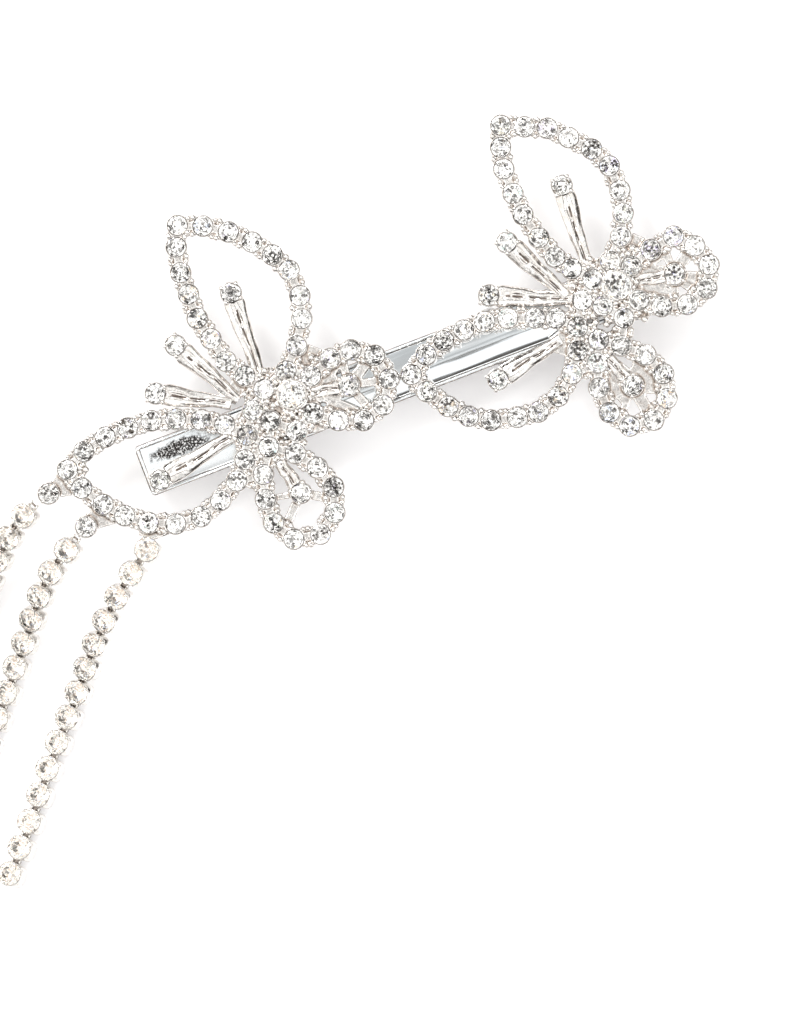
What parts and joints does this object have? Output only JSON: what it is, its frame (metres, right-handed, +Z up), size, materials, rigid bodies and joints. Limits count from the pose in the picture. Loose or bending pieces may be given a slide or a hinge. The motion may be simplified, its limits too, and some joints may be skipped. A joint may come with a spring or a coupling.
{
  "type": "rhinestone hair clip",
  "caption": "Sprung bar hair clip carrying cast openwork butterflies set with round clear stones, with strands of jointed rhinestone cup chain hanging from one wing.",
  "frame": {"origin": "middle of the footprint on the table", "axes": "+X along the clip bar from its free end to its hinge end, +Z up through the ornaments, +Y across the bar"},
  "size_m": [0.1108, 0.0648, 0.0089],
  "materials": {
    "cast_silver": "bright plated casting",
    "crystal": "cut and foiled",
    "cup_chain": "plated cup with a clear stone crimped in it",
    "mirror_steel": "mirror polished",
    "clip_steel": "plated",
    "spring_wire": "drawn wire",
    "solder": "dull"
  },
  "bodies": {
    "root": {"hinge_pin": "clip_steel", "left_arm_stones": "crystal", "left_body_stones": "crystal", "left_butterfly": "cast_silver", "left_centre_stone": "crystal", "left_solder_pad": "solder", "left_wing_stones": "crystal", "right_arm_stones": "crystal", "right_body_stones": "crystal", "right_butterfly": "cast_silver", "right_centre_stone": "crystal", "right_solder_pad": "solder", "right_wing_stones": "crystal", "strand_3_root_cup": "cup_chain", "top_bar": "mirror_steel", "torsion_spring": "spring_wire"},
    "jaw": {"lower_jaw": "clip_steel"},
    "strand_1_link_01": {"strand_1_link_01": "cup_chain"},
    "strand_1_link_02": {"strand_1_link_02": "cup_chain"},
    "strand_1_link_03": {"strand_1_link_03": "cup_chain"},
    "strand_1_link_04": {"strand_1_link_04": "cup_chain"},
    "strand_1_link_05": {"strand_1_link_05": "cup_chain"},
    "strand_1_link_06": {"strand_1_link_06": "cup_chain"},
    "strand_1_link_07": {"strand_1_link_07": "cup_chain"},
    "strand_1_link_08": {"strand_1_link_08": "cup_chain"},
    "strand_1_link_09": {"strand_1_link_09": "cup_chain"},
    "strand_1_link_10": {"strand_1_link_10": "cup_chain"},
    "strand_1_link_11": {"strand_1_link_11": "cup_chain"},
    "strand_1_link_12": {"strand_1_link_12": "cup_chain"},
    "strand_1_link_13": {"strand_1_link_13": "cup_chain"},
    "strand_2_link_01": {"strand_2_link_01": "cup_chain"},
    "strand_2_link_02": {"strand_2_link_02": "cup_chain"},
    "strand_2_link_03": {"strand_2_link_03": "cup_chain"},
    "strand_2_link_04": {"strand_2_link_04": "cup_chain"},
    "strand_2_link_05": {"strand_2_link_05": "cup_chain"},
    "strand_2_link_06": {"strand_2_link_06": "cup_chain"},
    "strand_2_link_07": {"strand_2_link_07": "cup_chain"},
    "strand_2_link_08": {"strand_2_link_08": "cup_chain"},
    "strand_2_link_09": {"strand_2_link_09": "cup_chain"},
    "strand_2_link_10": {"strand_2_link_10": "cup_chain"},
    "strand_2_link_11": {"strand_2_link_11": "cup_chain"},
    "strand_2_link_12": {"strand_2_link_12": "cup_chain"},
    "strand_2_link_13": {"strand_2_link_13": "cup_chain"},
    "strand_3_link_01": {"strand_3_link_01": "cup_chain"},
    "strand_3_link_02": {"strand_3_link_02": "cup_chain"},
    "strand_3_link_03": {"strand_3_link_03": "cup_chain"},
    "strand_3_link_04": {"strand_3_link_04": "cup_chain"},
    "strand_3_link_05": {"strand_3_link_05": "cup_chain"},
    "strand_3_link_06": {"strand_3_link_06": "cup_chain"},
    "strand_3_link_07": {"strand_3_link_07": "cup_chain"},
    "strand_3_link_08": {"strand_3_link_08": "cup_chain"},
    "strand_3_link_09": {"strand_3_link_09": "cup_chain"},
    "strand_3_link_10": {"strand_3_link_10": "cup_chain"},
    "strand_3_link_11": {"strand_3_link_11": "cup_chain"},
    "strand_3_link_12": {"strand_3_link_12": "cup_chain"},
    "strand_3_link_13": {"strand_3_link_13": "cup_chain"}
  },
  "joints": [
    {"name": "jaw_hinge", "type": "hinge", "parent": "root", "child": "jaw", "pos_m": [0.02868, 0.00642, 0.0034], "axis": [0, -1, 0], "range_deg": [0, 19], "stiffness_Nm_per_rad": 0.06, "springref_deg": -28.65, "deforming": ["torsion_spring"]},
    {"name": "strand_1_link_01_hinge", "type": "hinge", "parent": "root", "child": "strand_1_link_01", "pos_m": [-0.02722, 0.00737, 0.00755], "axis": [0.4179, -0.9047, 0.0825], "range_deg": [-10, 11.3]},
    {"name": "strand_1_link_02_hinge", "type": "hinge", "parent": "strand_1_link_01", "child": "strand_1_link_02", "pos_m": [-0.02992, 0.00603, 0.00653], "axis": [0.5058, -0.8545, 0.1186], "range_deg": [-10, 14]},
    {"name": "strand_1_link_03_hinge", "type": "hinge", "parent": "strand_1_link_02", "child": "strand_1_link_03", "pos_m": [-0.03204, 0.00417, 0.00502], "axis": [0.5928, -0.7831, 0.1881], "range_deg": [-10, 14]},
    {"name": "strand_1_link_04_hinge", "type": "hinge", "parent": "strand_1_link_03", "child": "strand_1_link_04", "pos_m": [-0.03396, 0.00221, 0.0034], "axis": [0.6127, -0.7566, 0.2282], "range_deg": [-10, 14]},
    {"name": "strand_1_link_05_hinge", "type": "hinge", "parent": "strand_1_link_04", "child": "strand_1_link_05", "pos_m": [-0.03593, 0.00011, 0.00202], "axis": [0.6513, -0.7197, 0.2406], "range_deg": [-10, 14]},
    {"name": "strand_1_link_06_hinge", "type": "hinge", "parent": "strand_1_link_05", "child": "strand_1_link_06", "pos_m": [-0.03795, -0.00217, 0.00109], "axis": [0.6876, -0.6809, 0.2521], "range_deg": [-10, 14]},
    {"name": "strand_1_link_07_hinge", "type": "hinge", "parent": "strand_1_link_06", "child": "strand_1_link_07", "pos_m": [-0.04004, -0.00454, 0.00066], "axis": [0.709, -0.6564, 0.2577], "range_deg": [-10, 14]},
    {"name": "strand_1_link_08_hinge", "type": "hinge", "parent": "strand_1_link_07", "child": "strand_1_link_08", "pos_m": [-0.04218, -0.00691, 0.00066], "axis": [0.717, -0.6472, 0.2588], "range_deg": [-10, 14]},
    {"name": "strand_1_link_09_hinge", "type": "hinge", "parent": "strand_1_link_08", "child": "strand_1_link_09", "pos_m": [-0.04432, -0.00928, 0.00066], "axis": [0.7189, -0.6451, 0.2588], "range_deg": [-10, 14]},
    {"name": "strand_1_link_10_hinge", "type": "hinge", "parent": "strand_1_link_09", "child": "strand_1_link_10", "pos_m": [-0.04644, -0.01166, 0.00066], "axis": [0.7218, -0.6418, 0.2588], "range_deg": [-10, 14]},
    {"name": "strand_1_link_11_hinge", "type": "hinge", "parent": "strand_1_link_10", "child": "strand_1_link_11", "pos_m": [-0.04856, -0.01405, 0.00066], "axis": [0.72, -0.6439, 0.2588], "range_deg": [-10, 14]},
    {"name": "strand_1_link_12_hinge", "type": "hinge", "parent": "strand_1_link_11", "child": "strand_1_link_12", "pos_m": [-0.0507, -0.01641, 0.00066], "axis": [0.7183, -0.6458, 0.2588], "range_deg": [-10, 14]},
    {"name": "strand_1_link_13_hinge", "type": "hinge", "parent": "strand_1_link_12", "child": "strand_1_link_13", "pos_m": [-0.05282, -0.01879, 0.00066], "axis": [0.724, -0.6394, 0.2588], "range_deg": [-10, 14]},
    {"name": "strand_2_link_01_hinge", "type": "hinge", "parent": "root", "child": "strand_2_link_01", "pos_m": [-0.02412, 0.00207, 0.00755], "axis": [0.4936, -0.8655, 0.0851], "range_deg": [-10, 14]},
    {"name": "strand_2_link_02_hinge", "type": "hinge", "parent": "strand_2_link_01", "child": "strand_2_link_02", "pos_m": [-0.02679, 0.00048, 0.00685], "axis": [0.5195, -0.8455, 0.1234], "range_deg": [-10, 14]},
    {"name": "strand_2_link_03_hinge", "type": "hinge", "parent": "strand_2_link_02", "child": "strand_2_link_03", "pos_m": [-0.02916, -0.00132, 0.00568], "axis": [0.593, -0.7809, 0.1966], "range_deg": [-10, 14]},
    {"name": "strand_2_link_04_hinge", "type": "hinge", "parent": "strand_2_link_03", "child": "strand_2_link_04", "pos_m": [-0.03106, -0.00343, 0.00423], "axis": [0.6617, -0.7134, 0.2307], "range_deg": [-10, 14]},
    {"name": "strand_2_link_05_hinge", "type": "hinge", "parent": "strand_2_link_04", "child": "strand_2_link_05", "pos_m": [-0.03283, -0.00565, 0.00278], "axis": [0.6775, -0.6967, 0.2356], "range_deg": [-10, 14]},
    {"name": "strand_2_link_06_hinge", "type": "hinge", "parent": "strand_2_link_05", "child": "strand_2_link_06", "pos_m": [-0.03476, -0.00791, 0.00161], "axis": [0.6875, -0.683, 0.2467], "range_deg": [-10, 14]},
    {"name": "strand_2_link_07_hinge", "type": "hinge", "parent": "strand_2_link_06", "child": "strand_2_link_07", "pos_m": [-0.03676, -0.01029, 0.00091], "axis": [0.7142, -0.6517, 0.2553], "range_deg": [-10, 14]},
    {"name": "strand_2_link_08_hinge", "type": "hinge", "parent": "strand_2_link_07", "child": "strand_2_link_08", "pos_m": [-0.03881, -0.01272, 0.00066], "axis": [0.728, -0.635, 0.2584], "range_deg": [-10, 14]},
    {"name": "strand_2_link_09_hinge", "type": "hinge", "parent": "strand_2_link_08", "child": "strand_2_link_09", "pos_m": [-0.04089, -0.01513, 0.00066], "axis": [0.7233, -0.6402, 0.2588], "range_deg": [-10, 14]},
    {"name": "strand_2_link_10_hinge", "type": "hinge", "parent": "strand_2_link_09", "child": "strand_2_link_10", "pos_m": [-0.04304, -0.0175, 0.00066], "axis": [0.7198, -0.6442, 0.2588], "range_deg": [-10, 14]},
    {"name": "strand_2_link_11_hinge", "type": "hinge", "parent": "strand_2_link_10", "child": "strand_2_link_11", "pos_m": [-0.04515, -0.01989, 0.00066], "axis": [0.7321, -0.6301, 0.2588], "range_deg": [-10, 14]},
    {"name": "strand_2_link_12_hinge", "type": "hinge", "parent": "strand_2_link_11", "child": "strand_2_link_12", "pos_m": [-0.0472, -0.02233, 0.00066], "axis": [0.7436, -0.6165, 0.2588], "range_deg": [-10, 14]},
    {"name": "strand_2_link_13_hinge", "type": "hinge", "parent": "strand_2_link_12", "child": "strand_2_link_13", "pos_m": [-0.04922, -0.0248, 0.00066], "axis": [0.7545, -0.6031, 0.2588], "range_deg": [-10, 14]},
    {"name": "strand_3_link_01_hinge", "type": "hinge", "parent": "root", "child": "strand_3_link_01", "pos_m": [-0.01829, -0.0029, 0.00755], "axis": [0.5763, -0.8127, 0.0856], "range_deg": [-10, 14]},
    {"name": "strand_3_link_02_hinge", "type": "hinge", "parent": "strand_3_link_01", "child": "strand_3_link_02", "pos_m": [-0.02081, -0.00475, 0.00695], "axis": [0.5831, -0.8027, 0.1255], "range_deg": [-10, 14]},
    {"name": "strand_3_link_03_hinge", "type": "hinge", "parent": "strand_3_link_02", "child": "strand_3_link_03", "pos_m": [-0.02315, -0.0067, 0.00596], "axis": [0.5934, -0.7791, 0.2022], "range_deg": [-10, 14]},
    {"name": "strand_3_link_04_hinge", "type": "hinge", "parent": "strand_3_link_03", "child": "strand_3_link_04", "pos_m": [-0.02527, -0.00874, 0.00474], "axis": [0.6123, -0.7541, 0.2375], "range_deg": [-10, 14]},
    {"name": "strand_3_link_05_hinge", "type": "hinge", "parent": "strand_3_link_04", "child": "strand_3_link_05", "pos_m": [-0.02727, -0.01084, 0.00343], "axis": [0.6528, -0.7193, 0.2376], "range_deg": [-10, 14]},
    {"name": "strand_3_link_06_hinge", "type": "hinge", "parent": "strand_3_link_05", "child": "strand_3_link_06", "pos_m": [-0.02916, -0.0131, 0.0022], "axis": [0.6796, -0.6919, 0.2438], "range_deg": [-10, 14]},
    {"name": "strand_3_link_07_hinge", "type": "hinge", "parent": "strand_3_link_06", "child": "strand_3_link_07", "pos_m": [-0.03117, -0.01542, 0.00131], "axis": [0.678, -0.6905, 0.2521], "range_deg": [-10, 14]},
    {"name": "strand_3_link_08_hinge", "type": "hinge", "parent": "strand_3_link_07", "child": "strand_3_link_08", "pos_m": [-0.03334, -0.01771, 0.00081], "axis": [0.6938, -0.6727, 0.2572], "range_deg": [-10, 14]},
    {"name": "strand_3_link_09_hinge", "type": "hinge", "parent": "strand_3_link_08", "child": "strand_3_link_09", "pos_m": [-0.03546, -0.02008, 0.00066], "axis": [0.7248, -0.6385, 0.2587], "range_deg": [-10, 14]},
    {"name": "strand_3_link_10_hinge", "type": "hinge", "parent": "strand_3_link_09", "child": "strand_3_link_10", "pos_m": [-0.03752, -0.02252, 0.00066], "axis": [0.74, -0.6208, 0.2588], "range_deg": [-10, 14]},
    {"name": "strand_3_link_11_hinge", "type": "hinge", "parent": "strand_3_link_10", "child": "strand_3_link_11", "pos_m": [-0.03956, -0.02497, 0.00066], "axis": [0.74, -0.6208, 0.2588], "range_deg": [-10, 14]},
    {"name": "strand_3_link_12_hinge", "type": "hinge", "parent": "strand_3_link_11", "child": "strand_3_link_12", "pos_m": [-0.04162, -0.02741, 0.00066], "axis": [0.7286, -0.6341, 0.2588], "range_deg": [-10, 14]},
    {"name": "strand_3_link_13_hinge", "type": "hinge", "parent": "strand_3_link_12", "child": "strand_3_link_13", "pos_m": [-0.04374, -0.02978, 0.00066], "axis": [0.7301, -0.6324, 0.2588], "range_deg": [-10, 14]}
  ]
}
